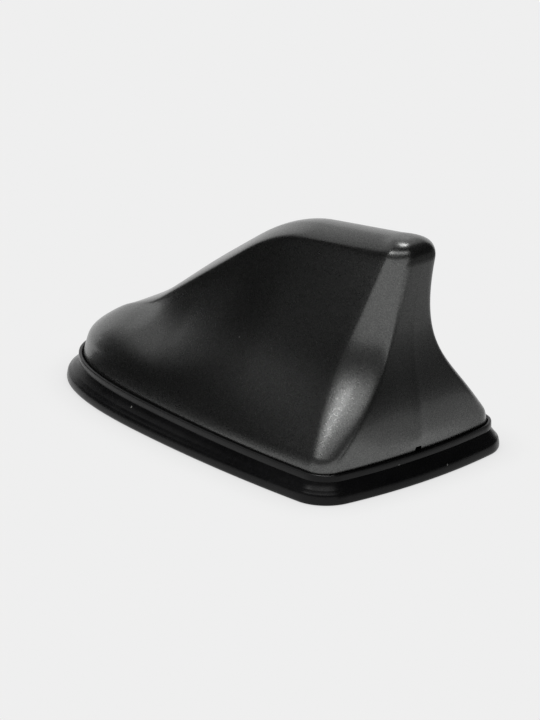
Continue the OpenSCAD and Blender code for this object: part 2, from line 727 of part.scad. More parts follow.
module top_plate() color("#a9adb0") difference() {
    under_ceiling(plate_clear, plate_skirt, plate_w, 0);
    under_ceiling(plate_clear + plate_t, plate_skirt, plate_w - 2 * plate_t, 0);
    on_plate() translate([0, 0, -overrun]) cylinder(d = board_screw_d + 2 * fit, h = plate_t + 2 * overrun);
}

module plate_screw() color("#9ea2a6") on_plate()
    cross_screw(board_screw_d, plate_screw_l, board_head_d, plate_head_h);

module plate_carrier() color("#d9d7cf") difference() {
    intersection() {
        union() {
            difference() {
                under_ceiling(plate_clear + plate_t, rail_h, rail_w, 0);
                under_ceiling(plate_clear + plate_t + rail_t, rail_h, rail_w - 2 * rail_t, overrun);
            }
            rod([coil_x, 0], socket_z, socket_d, 2 * socket_drop);
            on_plate() cylinder(d = board_screw_d + 2 * rail_t, h = plate_t + rail_h);
        }
        under_ceiling(plate_clear + plate_t, 2 * socket_drop, 2 * plate_w, 0);
    }
    rod([coil_x, 0], socket_z - overrun, spigot_d + fit, socket_drop - rail_h / 2 + overrun);
    on_plate() cylinder(d = board_screw_d + fit, h = plate_screw_l + fit);
}

// Coil former: a cup over the contact spring, a post for the winding, a flange that carries the plate
// carrier and a spigot in its socket
cup_wall = 1.2;
cup_h = 4.6;
former_flange_t = 1;
post_r = (coil_d - wire_d) / 2 - fit;
cup_r = coil_d / 2 + wire_d + cup_wall;
cup_top = board_top + cup_h;
winding_top = socket_z - former_flange_t;
module coil_former() color("#e2e0d8") translate([coil_x, 0, 0]) rotate_extrude() polygon([
    [0, cup_top - cup_wall], [cup_r - cup_wall, cup_top - cup_wall], [cup_r - cup_wall, board_top],
    [cup_r, board_top], [cup_r, cup_top], [post_r, cup_top], [post_r, winding_top],
    [socket_d / 2 + cup_wall / 2, winding_top], [socket_d / 2 + cup_wall / 2, socket_z],
    [spigot_d / 2, socket_z], [spigot_d / 2, socket_z + socket_drop - rail_h / 2 - cup_wall / 2],
    [0, socket_z + socket_drop - rail_h / 2 - cup_wall / 2]]);

// A round wire wound on a circle of radius r from height z up by rise
module winding(r, wire, z, rise, turns, steps, sides) {
    n = turns * steps;
    tilt = atan(rise / turns / (2 * PI * r));
    points = [for (i = [0 : n], k = [0 : sides - 1]) let (
        a = 360 * i / steps,
        b = 360 * k / sides,
        out = r + wire / 2 * cos(b),
        up = wire / 2 * sin(b)
    ) [out * cos(a) + up * sin(tilt) * sin(a), out * sin(a) - up * sin(tilt) * cos(a),
        z + rise * i / n + up * cos(tilt)]];
    polyhedron(points = points, faces = concat(
        [for (i = [0 : n - 1], k = [0 : sides - 1], h = [0, 1]) let (
            a = i * sides + k,
            b = i * sides + (k + 1) % sides
        ) h == 0 ? [a, b, b + sides] : [a, b + sides, a + sides]],
        [for (k = [1 : sides - 2]) [0, k + 1, k]],
        [for (k = [1 : sides - 2]) [n * sides, n * sides + k, n * sides + k + 1]]), convexity = 10);
}

module helix_coil() color("#b5683a") translate([coil_x, 0, 0])
    winding(coil_d / 2, wire_d, cup_top + wire_d, winding_top - cup_top - 2 * wire_d, coil_turns, 16, 6);

spring_wire = 0.6;
spring_turns = 3;
module coil_spring() color("#aeb2b5") translate([coil_x, 0, 0])
    winding(cup_r - cup_wall - spring_wire, spring_wire, board_top + spring_wire / 2,
        cup_h - cup_wall - spring_wire, spring_turns, 14, 6);

cover_shell();
base_gasket();
base_plate();
adhesive_pad();
cover_screws();
board_inserts();
ground_plate();
main_board();
board_screws();
shield_can();
board_chips();
fm_socket();
gnss_socket();
gnss_patch();
patch_electrode();
patch_pin();
patch_tape();
coil_former();
helix_coil();
coil_spring();
plate_carrier();
top_plate();
plate_screw();
cable_grommet();
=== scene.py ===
# Shark fin aerial: the finish of its surfaces, its floor, light and camera.
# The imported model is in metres. The forms drawn here are worked out in millimetres and scaled at the end.
import json
import math

import bmesh
import bpy
import numpy as np
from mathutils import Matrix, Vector


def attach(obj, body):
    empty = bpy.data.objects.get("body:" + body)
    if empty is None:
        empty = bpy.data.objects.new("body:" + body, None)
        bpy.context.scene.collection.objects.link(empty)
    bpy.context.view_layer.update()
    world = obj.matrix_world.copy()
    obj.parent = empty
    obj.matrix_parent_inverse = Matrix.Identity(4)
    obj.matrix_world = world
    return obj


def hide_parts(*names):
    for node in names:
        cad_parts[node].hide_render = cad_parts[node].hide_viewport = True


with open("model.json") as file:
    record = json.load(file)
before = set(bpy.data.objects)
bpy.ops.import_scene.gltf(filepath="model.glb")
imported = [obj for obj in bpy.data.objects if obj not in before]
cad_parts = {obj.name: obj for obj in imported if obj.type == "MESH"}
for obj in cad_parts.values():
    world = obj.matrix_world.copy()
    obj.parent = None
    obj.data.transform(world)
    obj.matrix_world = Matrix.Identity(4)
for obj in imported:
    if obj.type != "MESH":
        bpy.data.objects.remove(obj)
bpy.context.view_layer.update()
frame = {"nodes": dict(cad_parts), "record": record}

MM = 0.001

# Driving sizes of the cover and the gasket
PART_L, PART_W, PART_H = 138.0, 73.4, 68.8
NOSE_L, NOSE_W, NOSE_BLUNT, NOSE_SWEEP = 52.5, 34.8, 17.0, 0.855
SIDE_BOW, TAIL_BOW, TAIL_R = 2.6, 4.2, 11.0
RIDGE_START, RIDGE_START_H, RIDGE_SLOPE = 29.5, 26.2, 0.658
DOME_BACK, DOME_REACH, DOME_FOOT_H, DOME_H, DOME_BLEND = 35.0, 28.4, 8.0, 22.9, 8.0
TOP_SLOPE, RIDGE_BEND, TAIL_OVERHANG = 0.125, 7.0, 1.0
RIDGE_FRONT_W, RIDGE_REAR_W = 8.1, 8.3
CREST_IN, CREST_REACH, CREST_BLUNT, CREST_SWEEP = 10.0, 42.5, 4.0, 0.55
RIDGE_CORNER, RIDGE_BOW = 6.2, 0.9
CROWN, CROWN_REACH = 2.3, 50.0
WALL, FOOT_H, STUB_H = 2.2, 6.0, 1.5
RIM_H, RIM_LEAN, RIM_R = 5.2, 1.0, 1.3
COLLAR_T, COLLAR_GAP = 0.75, 0.2
NOTCH_W, NOTCH_TOP = 2.2, 9.6

# Angle between faces over which an edge shows as sharp
COVER_SHARP, GASKET_SHARP = math.radians(35), math.radians(40)

TIP_X, TAIL_X = -PART_L / 2, PART_L / 2
RIDGE_X, DOME_X = TIP_X + RIDGE_START, TIP_X + DOME_BACK
CREST_TIP, CREST_TAIL = TIP_X + CREST_IN, TAIL_X - TAIL_OVERHANG
RIM_TOP = FOOT_H + RIM_H
COVER_H = PART_H - FOOT_H
ROOF_DROP, RIM_DROP = 1.1, 0.8

# Spans of the outline's nose, side, corner and rear, and of the cover's rising lines
SPANS = (27, 36, 18, 18)
RIM_SPANS, FLANK_SPANS, EDGE_SPANS, ROOF_SPANS = 8, 40, 12, 8

# Shape of the flanks and the ridge's rounding, as (station, value) rows along the half outline
LOWER_RUN = ((0, 0.14), (0.75, 0.14), (1, 0.17), (2, 0.56), (4, 0.56))
LOWER_RISE = ((0, 0.47), (0.4, 0.55), (0.7, 0.5), (1, 0.37), (2, 0.36), (4, 0.36))
UPPER_RUN = ((0, 0.71), (0.4, 0.72), (0.7, 0.8), (1, 0.86), (2, 0.87), (4, 0.87))
UPPER_RISE = ((0, 0.74), (0.15, 0.78), (0.3, 0.86), (0.5, 0.93), (0.65, 0.84), (0.8, 0.6), (1, 0.45),
              (2, 0.36), (4, 0.36))
LOWER_PULL = ((0, 0), (1, 0), (2, 0.17), (3, 0), (4, 0))
UPPER_PULL = ((0, 0), (1, 0), (2, 0.24), (3, 0.138), (4, 0.138))
FLANK_R = ((0, 3), (0.5, 6), (0.8, 2), (1.6, 2), (2, 3.5), (2.5, 6), (4, 6))
ROOF_R = ((0, 3), (0.5, 6), (4, 6))

# Least rounding of the ridge's edges, and its greatest share of the line that it rounds
LEAST_EDGE_R = 1.3
FLANK_R_SHARE, ROOF_R_SHARE = 0.7, 0.9

# Width of the gasket's skirt, from the lip in to the collar, in the same rows
SKIRT = ((0, 3.2), (0.5, 3.8), (1, 3.7), (2, 2.7), (3, 2.6), (4, 2.8))


def mix(a, b, t):
    return a + (b - a) * t


def unit(v):
    return v / np.linalg.norm(v)


def bez2(a, b, c, t):
    return mix(mix(a, b, t), mix(b, c, t), t)


def bez3(a, b, c, d, t):
    return mix(bez2(a, b, c, t), bez2(b, c, d, t), t)


def slope(rows, i):
    """Slope of the curve at row i: the lesser of its neighbours' slopes, none where they part."""
    if i in (0, len(rows) - 1):
        return 0.0
    before, after = ((rows[k + 1][1] - rows[k][1]) / (rows[k + 1][0] - rows[k][0]) for k in (i - 1, i))
    if before * after <= 0:
        return 0.0
    return math.copysign(2.0, before) * abs(before * after) / abs(before + after)


def eased(q, rows):
    """Value at station q on a smooth curve through the rows, level at its ends and turning points."""
    i = max(k for k in range(len(rows) - 1) if k == 0 or q > rows[k][0])
    (q0, v0), (q1, v1) = rows[i], rows[i + 1]
    s = min(1.0, max(0.0, (q - q0) / (q1 - q0)))
    m0, m1 = slope(rows, i) * (q1 - q0), slope(rows, i + 1) * (q1 - q0)
    return v0 + s * (m0 + s * (3 * (v1 - v0) - 2 * m0 - m1 + s * (m0 + m1 - 2 * (v1 - v0))))


def stations():
    return [k + i / n for k, n in enumerate(SPANS) for i in range(n)] + [4.0]


def turned(a):
    return np.array([math.cos(a), math.sin(a)])


def half_outline(tip, tail, reach, mid_w, end_w, corner_r, bow, rear_bow, blunt, sweep):
    """Half outline from the tip round one side to the middle of the rear."""
    rear_r = (end_w**2 + rear_bow**2) / (2 * rear_bow)
    corner_x = tail - rear_r + math.sqrt((rear_r - corner_r) ** 2 - (end_w - corner_r) ** 2)
    corner = np.array([corner_x, end_w - corner_r])
    mid = np.array([tip + reach, mid_w])
    chord = corner - mid
    length = np.linalg.norm(chord)
    turn = math.atan2(4 * bow, length)
    heading = math.atan2(chord[1], chord[0]) + math.asin(corner_r / length)
    leave, land = turned(heading + turn / 2), turned(heading - turn / 2)
    side_end = corner + corner_r * np.array([-land[1], land[0]])
    third = np.linalg.norm(side_end - mid) / 3
    corner_from = math.pi / 2 + heading - turn / 2
    rear_from = math.atan2(corner[1], corner[0] - tail + rear_r)
    hub = np.array([tail - rear_r, 0.0])
    points = []
    for q in stations():
        k = min(3, int(q))
        t = q - k
        if k == 0:
            start, across = np.array([tip, 0.0]), np.array([tip, blunt])
            points.append(bez3(start, across, mid - reach * sweep * leave, mid, t))
        elif k == 1:
            points.append(bez3(mid, mid + third * leave, side_end - third * land, side_end, t))
        elif k == 2:
            points.append(corner + corner_r * turned(mix(corner_from, rear_from, t)))
        else:
            points.append(hub + rear_r * turned(mix(rear_from, 0.0, t)))
    return np.array(points)


def closed(half):
    return np.vstack([half, half[-2:0:-1] * [1, -1]])


def inset(outline, d):
    """A closed outline moved inward by d, one value or one for each point, square to itself."""
    along = np.roll(outline, -1, axis=0) - np.roll(outline, 1, axis=0)
    along /= np.linalg.norm(along, axis=1)[:, None]
    return outline + np.reshape(d, (-1, 1)) * np.column_stack([along[:, 1], -along[:, 0]])


def all_round(rows):
    """Values of a table of rows at every point of a closed outline."""
    half = [eased(q, rows) for q in stations()]
    return np.array(half + half[-2:0:-1])


def crest_half(t):
    """Half outline of the ridge's long edge, moved in by t."""
    return half_outline(CREST_TIP + t, CREST_TAIL - t, CREST_REACH, RIDGE_FRONT_W - t, RIDGE_REAR_W - t,
                        RIDGE_CORNER - t, 0.0, RIDGE_BOW, CREST_BLUNT - t, CREST_SWEEP)


def soft_max(a, b, k):
    """The greater of a and b, eased over where they are within k of each other."""
    s = min(1.0, max(0.0, 0.5 + 0.5 * (a - b) / k))
    return mix(b, a, s) + k * s * (1 - s)


def crest_z(x):
    """Height of the middle line: over the dome, up the front slope and along the top run."""
    over = math.sqrt(max(0.0, 1 - ((x - DOME_X) / DOME_REACH) ** 2))
    dome = mix(DOME_FOOT_H, DOME_H, over)
    front = RIDGE_START_H + RIDGE_SLOPE * (x - RIDGE_X)
    top = PART_H - TOP_SLOPE * (CREST_TAIL - x)
    return -soft_max(-soft_max(dome, front, DOME_BLEND), -top, RIDGE_BEND)


def crown(x):
    """Rise of the ridge's middle over its edges, growing from the front."""
    s = min(1.0, max(0.0, (x - CREST_TIP) / CROWN_REACH))
    return CROWN * s * s * (3 - 2 * s)


PLAN = closed(half_outline(TIP_X, TAIL_X, NOSE_L, NOSE_W, PART_W / 2, TAIL_R, SIDE_BOW, TAIL_BOW,
                           NOSE_BLUNT, NOSE_SWEEP))

# First and last places of the half outline whose rising lines end square across from them
FIRST_SIDE, LAST_SIDE = SPANS[0] // 3, SPANS[0] + SPANS[1] * 11 // 12


def roof(crest, middle, s, t):
    """A point of the ridge's crowned top, at a share s of the way from its long edge to its middle line."""
    x, y = mix(crest, middle, s)
    return np.array([x, y, crest_z(x) + crown(x) * s * (1.5 - 0.5 * s * s) - t * ROOF_DROP])


def rise(q, foot, crest, middle, t):
    """One rising line of the cover's skin, moved in by t, from the foot to the ridge's middle."""
    b, c = np.array([*foot, 0.0]), np.array([*crest, 0.0])
    rim = b + unit(c - b) * RIM_LEAN + [0, 0, RIM_TOP - t * RIM_DROP]
    edge = c + [0, 0, crest_z(crest[0]) - t * ROOF_DROP]
    span = edge - rim
    low = rim + span * [eased(q, LOWER_RUN), eased(q, LOWER_RUN), eased(q, LOWER_RISE)]
    high = rim + span * [eased(q, UPPER_RUN), eased(q, UPPER_RUN), eased(q, UPPER_RISE)]
    low[0] -= COVER_H * eased(q, LOWER_PULL)
    high[0] -= COVER_H * eased(q, UPPER_PULL)
    stub = b + [0, 0, FOOT_H + STUB_H]
    under, over = rim + unit(stub - rim) * RIM_R, rim + unit(low - rim) * RIM_R
    flank_r = min(max(eased(q, FLANK_R) - t, LEAST_EDGE_R), FLANK_R_SHARE * np.linalg.norm(edge - high))
    below = edge - unit(edge - high) * flank_r
    round_to = min(max(eased(q, ROOF_R) - t, LEAST_EDGE_R) / np.linalg.norm(middle - crest), ROOF_R_SHARE)
    beside = roof(crest, middle, round_to, t)
    line = [b + [0, 0, FOOT_H], b + [0, 0, FOOT_H + STUB_H / 2], stub]
    line += [bez2(under, rim, over, i / RIM_SPANS) for i in range(RIM_SPANS)]
    line += [bez3(over, low, high, below, i / FLANK_SPANS) for i in range(FLANK_SPANS)]
    line += [bez2(below, edge, beside, i / EDGE_SPANS) for i in range(EDGE_SPANS)]
    line += [roof(crest, middle, mix(round_to, 1.0, i / ROOF_SPANS), t) for i in range(ROOF_SPANS + 1)]
    return line


def skin_lines(t):
    """All rising lines of the skin, round the whole outline."""
    foot, crest = inset(PLAN, all_round(SKIRT) + COLLAR_T + COLLAR_GAP + t), crest_half(t)
    half = [rise(q, foot[j], crest[j], crest[min(max(j, FIRST_SIDE), LAST_SIDE)] * [1, 0], t)
            for j, q in enumerate(stations())]
    return half + [[p * [1, -1, 1] for p in line] for line in half[-2:0:-1]]


def add_piece(name, points, faces, material, node):
    """A mesh piece in place of a CAD node, riding on the one body."""
    mesh = bpy.data.meshes.new(name)
    mesh.from_pydata([tuple(float(v) * MM for v in p) for p in points], [], faces)
    mesh.validate()
    mesh.materials.append(material)
    mesh.shade_smooth()
    piece = bpy.data.objects.new(name, mesh)
    bpy.context.scene.collection.objects.link(piece)
    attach(piece, "root")
    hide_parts(node)
    return piece


def weld(piece):
    """Joins points that fall together and turns every face outward."""
    work = bmesh.new()
    work.from_mesh(piece.data)
    bmesh.ops.remove_doubles(work, verts=work.verts, dist=1e-6)
    bmesh.ops.recalc_face_normals(work, faces=work.faces)
    work.to_mesh(piece.data)
    work.free()


def ring_faces(n, m, first, inside):
    """Faces between n lines of m points each, round the whole ring, from the point numbered first."""
    faces = []
    for j in range(n):
        for i in range(m - 1):
            a, b = first + j * m + i, first + (j + 1) % n * m + i
            faces.append((a, a + 1, b + 1, b) if inside else (a, b, b + 1, a + 1))
    return faces


def cut_notch(piece, rear_x):
    """Cuts the drain notch through the foot of the cover at the rear middle."""
    lowest, highest = (rear_x - 2 * WALL, -NOTCH_W / 2, FOOT_H - 1), (rear_x + WALL, NOTCH_W / 2, NOTCH_TOP)
    corners = [[(lowest, highest)[k >> axis & 1][axis] * MM for axis in range(3)] for k in range(8)]
    mesh = bpy.data.meshes.new("notch")
    sides = [(0, 2, 3, 1), (4, 5, 7, 6), (0, 1, 5, 4), (2, 6, 7, 3), (0, 4, 6, 2), (1, 3, 7, 5)]
    mesh.from_pydata(corners, [], sides)
    cutter = bpy.data.objects.new("notch", mesh)
    bpy.context.scene.collection.objects.link(cutter)
    cut = piece.modifiers.new("notch", "BOOLEAN")
    cut.object, cut.operation, cut.solver = cutter, "DIFFERENCE", "EXACT"
    whole = piece.evaluated_get(bpy.context.evaluated_depsgraph_get())
    shaped = bpy.data.meshes.new_from_object(whole)
    piece.modifiers.clear()
    piece.data = shaped
    bpy.data.objects.remove(cutter)


def cover_piece(material):
    """The cover as a hollow moulding: outer skin, inner skin and the foot between them."""
    outer, inner = skin_lines(0.0), skin_lines(WALL)
    n, m = len(outer), len(outer[0])
    points = [p for line in outer + inner for p in line]
    faces = ring_faces(n, m, 0, False) + ring_faces(n, m, n * m, True)
    for j in range(n):
        a, b = j * m, (j + 1) % n * m
        faces.append((a, n * m + a, n * m + b, b))
    piece = add_piece("cover_skin", points, faces, material, "cover_shell")
    weld(piece)
    cut_notch(piece, TAIL_X - all_round(SKIRT)[len(PLAN) // 2] - COLLAR_T - COLLAR_GAP)
    piece.data.set_sharp_from_angle(angle=COVER_SHARP)
    return piece


# Section of the gasket as (inset, height): its lip and skirt, with insets as shares of the skirt's width,
# its collar, with insets from the skirt's inner edge, and the parts underneath, with insets from the lip
LIP = ((0.32, 0), (0.1, 0.12), (0.02, 0.5), (0, 0.95), (0.03, 1.7), (0.08, 2.5), (0.14, 2.95))
SKIRT_RISE = ((0.2, 3.2), (0.42, 3.85), (0.43, 3.92), (0.5, 4.15), (0.72, 4.9), (0.88, 5.55), (0.94, 5.95))
COLLAR = ((-0.05, 6.1), (-0.25, 6.16), (-0.3, 6.3), (-0.27, 7.75), (-0.2, 8.0), (0.0, 8.1), (0.45, 8.1),
          (0.65, 8.0), (0.75, 7.8), (0.75, 6))
UNDER = ((8.4, 6), (8.4, 3.2), (5.4, 3.2), (5.4, 1.2), (8, 1.2), (8, 0), (4.6, 0), (4.6, 0.5),
         (3.4, 0.5), (3.4, 0))


def gasket_piece(material):
    """The gasket as one closed section carried round the outline."""
    widths = all_round(SKIRT)
    rings = [(inset(PLAN, share * widths), z) for share, z in LIP + SKIRT_RISE]
    rings += [(inset(PLAN, widths + a), z) for a, z in COLLAR]
    rings += [(inset(PLAN, a), z) for a, z in UNDER]
    m, n = len(rings), len(PLAN)
    points = [(*ring[j], z) for j in range(n) for ring, z in rings]
    faces = [(j * m + i, (j + 1) % n * m + i, (j + 1) % n * m + (i + 1) % m, j * m + (i + 1) % m)
             for j in range(n) for i in range(m)]
    piece = add_piece("gasket_ring", points, faces, material, "base_gasket")
    weld(piece)
    piece.data.set_sharp_from_angle(angle=GASKET_SHARP)
    return piece


class Finish:
    """A node material: a Principled shader with its textures."""

    def __init__(self, name, **uniform):
        self.material = bpy.data.materials.new(name)
        self.material.use_nodes = True
        self.tree = self.material.node_tree
        self.shader = self.tree.nodes["Principled BSDF"]
        for key, value in uniform.items():
            self.shader.inputs[key.replace("_", " ")].default_value = value
        self.place = self.tree.nodes.new("ShaderNodeTexCoord").outputs["Object"]

    def add(self, kind, inputs=(), **props):
        node = self.tree.nodes.new("ShaderNode" + kind)
        for key, value in props.items():
            setattr(node, key, value)
        for key, value in dict(inputs).items():
            if isinstance(value, bpy.types.NodeSocket):
                self.tree.links.new(value, node.inputs[key])
            else:
                node.inputs[key].default_value = value
        return node

    def noise(self, size_mm, detail=2.0, roughness=0.5):
        """Noise whose features are about size_mm across."""
        node = self.add("TexNoise", {"Vector": self.place, "Scale": 1 / (size_mm * MM), "Detail": detail,
                                     "Roughness": roughness})
        return node.outputs["Fac"]

    def specks(self, cell_mm, radius_mm, share):
        """Round specks of dust: 1 on them and 0 between them."""
        cells = self.add("TexVoronoi", {"Vector": self.place, "Scale": 1 / (cell_mm * MM)}).outputs
        near = self.add("Math", {0: cells["Distance"], 1: radius_mm / cell_mm}, operation="LESS_THAN")
        some = self.add("Math", {0: cells["Color"], 1: share}, operation="LESS_THAN")
        dust = self.add("Math", {0: near.outputs[0], 1: some.outputs[0]}, operation="MULTIPLY")
        return dust.outputs[0]

    def ramp(self, factor, low, high, low_at=0.3, high_at=0.7):
        """Colour or grey between two values over a range of the factor."""
        node = self.add("ValToRGB", {"Fac": factor})
        ends = node.color_ramp.elements
        ends[0].position, ends[1].position = low_at, high_at
        ends[0].color = (*low, 1) if isinstance(low, tuple) else (low, low, low, 1)
        ends[1].color = (*high, 1) if isinstance(high, tuple) else (high, high, high, 1)
        return node.outputs["Color"]

    def span(self, factor, low, high):
        """Number between two values over the middle range of the factor."""
        return self.add("MapRange", {"Value": factor, "From Min": 0.3, "From Max": 0.7, "To Min": low,
                                     "To Max": high}).outputs["Result"]

    def blend(self, factor, first, second):
        node = self.add("Mix", data_type="RGBA")
        for socket, value in ((node.inputs[0], factor), (node.inputs[6], first), (node.inputs[7], second)):
            if isinstance(value, bpy.types.NodeSocket):
                self.tree.links.new(value, socket)
            else:
                socket.default_value = value if isinstance(value, float) else (*value, 1)
        return node.outputs[2]

    def wire(self, key, output):
        self.tree.links.new(output, self.shader.inputs[key])

    def bump(self, height, strength, depth_mm):
        node = self.add("Bump", {"Height": height, "Strength": strength, "Distance": depth_mm * MM})
        self.wire("Normal", node.outputs["Normal"])


def grey(v):
    return (v, v, v)


def paint():
    """Dark grey metallic paint under clear lacquer."""
    f = Finish("cover_paint", Metallic=0.95, Coat_Weight=0.2, Coat_Roughness=0.08)
    flakes = f.noise(0.36, 3.0, 0.8)
    tone = f.ramp(flakes, (0.065, 0.066, 0.067), (0.18, 0.182, 0.177), 0.35, 0.68)
    clouds = f.ramp(f.noise(14), grey(0.0), grey(0.3))
    tone = f.blend(clouds, tone, (0.113, 0.114, 0.111))
    f.wire("Base Color", f.blend(f.specks(9, 0.3, 0.12), tone, (0.6, 0.6, 0.58)))
    f.wire("Roughness", f.span(f.noise(0.6), 0.26, 0.32))
    f.bump(flakes, 0.35, 0.05)
    return f.material


def rubber():
    """Black moulded rubber with a dusty bloom."""
    f = Finish("gasket_rubber", Specular_IOR_Level=0.18)
    bloom = f.ramp(f.noise(9, 4.0), (0.006, 0.006, 0.0065), (0.011, 0.011, 0.0115))
    f.wire("Base Color", f.blend(f.specks(4, 0.3, 0.2), bloom, (0.3, 0.3, 0.29)))
    f.wire("Roughness", f.span(f.noise(1.5), 0.22, 0.3))
    f.bump(f.noise(0.4), 0.1, 0.04)
    return f.material


def plain_metal(name, colour, rough):
    """Bare metal with a fine grain and a little tarnish."""
    f = Finish(name, Metallic=1.0)
    darker = tuple(0.8 * c for c in colour)
    f.wire("Base Color", f.ramp(f.noise(2.5, 4.0), darker, colour))
    f.wire("Roughness", f.span(f.noise(0.8), rough * 0.8, rough * 1.25))
    f.bump(f.noise(0.3), 0.08, 0.03)
    return f.material


def plain_plastic(name, colour, rough, grain_mm=0.35):
    """Moulded plastic, resin, foam or ceramic with its grain."""
    f = Finish(name, Specular_IOR_Level=0.5)
    darker = tuple(0.82 * c for c in colour)
    f.wire("Base Color", f.ramp(f.noise(6, 4.0), darker, colour))
    f.wire("Roughness", f.span(f.noise(1.2), rough * 0.85, rough * 1.2))
    f.bump(f.noise(grain_mm), 0.18, 0.05)
    return f.material


FINISHES = {
    "cover_paint": paint,
    "gasket_rubber": rubber,
    "chassis_plastic": lambda: plain_plastic("chassis_plastic", (0.022, 0.023, 0.024), 0.5),
    "tape_foam": lambda: plain_plastic("tape_foam", (0.03, 0.03, 0.032), 0.85, 0.6),
    "zinc_steel": lambda: plain_metal("zinc_steel", (0.62, 0.63, 0.65), 0.3),
    "insert_brass": lambda: plain_metal("insert_brass", (0.72, 0.5, 0.2), 0.32),
    "tinned_steel": lambda: plain_metal("tinned_steel", (0.66, 0.67, 0.68), 0.35),
    "board_resin": lambda: plain_plastic("board_resin", (0.02, 0.13, 0.05), 0.35, 0.8),
    "chip_plastic": lambda: plain_plastic("chip_plastic", (0.02, 0.02, 0.022), 0.55),
    "socket_gold": lambda: plain_metal("socket_gold", (0.85, 0.62, 0.25), 0.25),
    "patch_ceramic": lambda: plain_plastic("patch_ceramic", (0.48, 0.4, 0.29), 0.6),
    "silver_plate": lambda: plain_metal("silver_plate", (0.78, 0.78, 0.76), 0.3),
    "liner_tape": lambda: plain_plastic("liner_tape", (0.66, 0.62, 0.52), 0.7),
    "natural_plastic": lambda: plain_plastic("natural_plastic", (0.7, 0.68, 0.62), 0.45),
    "winding_copper": lambda: plain_metal("winding_copper", (0.7, 0.33, 0.16), 0.28),
}
finishes = {slot: make() for slot, make in FINISHES.items()}


for row in frame["record"]["subparts"]:
    for place in frame["nodes"][row["node"]].material_slots:
        place.material = finishes[row["material_slot"]]

cover = cover_piece(finishes["cover_paint"])
gasket = gasket_piece(finishes["gasket_rubber"])

# Camera
TARGET = Vector((4.21, 0.0, 18.0)) * MM
AZIMUTH, ELEVATION = math.radians(48.0), math.radians(20.54)
DISTANCE = 1.5635
LENS, SENSOR_W = 275.0, 36.0


def look_from(azimuth, elevation):
    return Vector((math.sin(azimuth) * math.cos(elevation), -math.cos(azimuth) * math.cos(elevation),
                   math.sin(elevation)))


def add_camera():
    data = bpy.data.cameras.new("camera")
    data.lens = LENS
    data.sensor_width = SENSOR_W
    data.sensor_fit = "AUTO"
    data.clip_start, data.clip_end = 0.05, 50.0
    camera = bpy.data.objects.new("camera", data)
    camera.location = TARGET + look_from(AZIMUTH, ELEVATION) * DISTANCE
    camera.rotation_euler = (TARGET - camera.location).to_track_quat("-Z", "Y").to_euler()
    bpy.context.scene.collection.objects.link(camera)
    bpy.context.scene.camera = camera


add_camera()

# Lights stand in these directions from the part, with their sides in metres and their radiance
LAMP_DISTANCE = 1.3
LAMPS = {
    "key": ((-0.25, -0.61, 0.75), 0.28, 6.5),
    "top": ((-0.29, 0.26, 0.92), 0.36, 10.0),
}


def add_lamp(name, towards, side, radiance):
    """A square area light of a given radiance that faces the part."""
    data = bpy.data.lights.new(name, "AREA")
    data.shape = "SQUARE"
    data.size = side
    data.energy = radiance * math.pi * side * side
    lamp = bpy.data.objects.new(name, data)
    lamp.location = TARGET + Vector(towards).normalized() * LAMP_DISTANCE
    lamp.rotation_euler = (TARGET - lamp.location).to_track_quat("-Z", "Y").to_euler()
    lamp.visible_camera = False
    bpy.context.scene.collection.objects.link(lamp)


for name, (towards, side, radiance) in LAMPS.items():
    add_lamp(name, towards, side, radiance)

# Cards stand round the part and are seen only in its reflections and as light on it.
# Azimuths run from +X towards +Y, elevations up from the floor, both in degrees. The last is the radiance.
CARD_DISTANCE = 1.5
CARDS = {
    "left_edge": ((178, 183), (12, 60), 0.25),
    "left_flag": ((183, 206), (-3, 31), 0.02),
    "left_high": ((183, 206), (31, 60), 0.5),
    "side_flag": ((206, 229), (-3, 60), 0.01),
    "side_low": ((229, 238), (-3, 10), 0.02),
    "front_wall": ((229, 350), (10, 38), 0.12),
    "front_light": ((229, 350), (38, 47), 0.6),
    "front_high": ((262, 350), (47, 60), 2.4),
    "front_left": ((229, 262), (47, 60), 0.7),
    "right_wall": ((-10, 98), (-3, 60), 0.03),
    "top_flag": ((-1, 359), (60, 90), 0.0),
    "back_top": ((98, 177), (34, 60), 0.4),
}

# Cloths lie on the floor round the part: azimuths, inner and outer reach, and radiance
CLOTHS = {
    "left_cloth": ((192, 244), (0.08, 1.5), 0.01),
    "right_cloth": ((0, 98), (0.085, 0.15), 0.45),
    "right_dark_cloth": ((-15, 98), (0.15, 1.5), 0.12),
}
CLOTH_LIFT = 0.0005

# Tone of the ground and the sky, the ground's colour in plain light, and its painted shadow beside the part
BACKGROUND, SKY_LIGHT, GROUND = 0.863, 0.3, 0.7
SHADOW, SHADOW_REACH = 0.75, 0.012
FLOOR_R, FLOOR_GAP = 4.0, 0.00005


def glow(name, radiance):
    """A material that only gives light."""
    material = bpy.data.materials.new(name)
    material.use_nodes = True
    tree = material.node_tree
    tree.nodes.clear()
    light, out = tree.nodes.new("ShaderNodeEmission"), tree.nodes.new("ShaderNodeOutputMaterial")
    light.inputs["Color"].default_value = (radiance, radiance, radiance, 1)
    tree.links.new(light.outputs[0], out.inputs["Surface"])
    return material


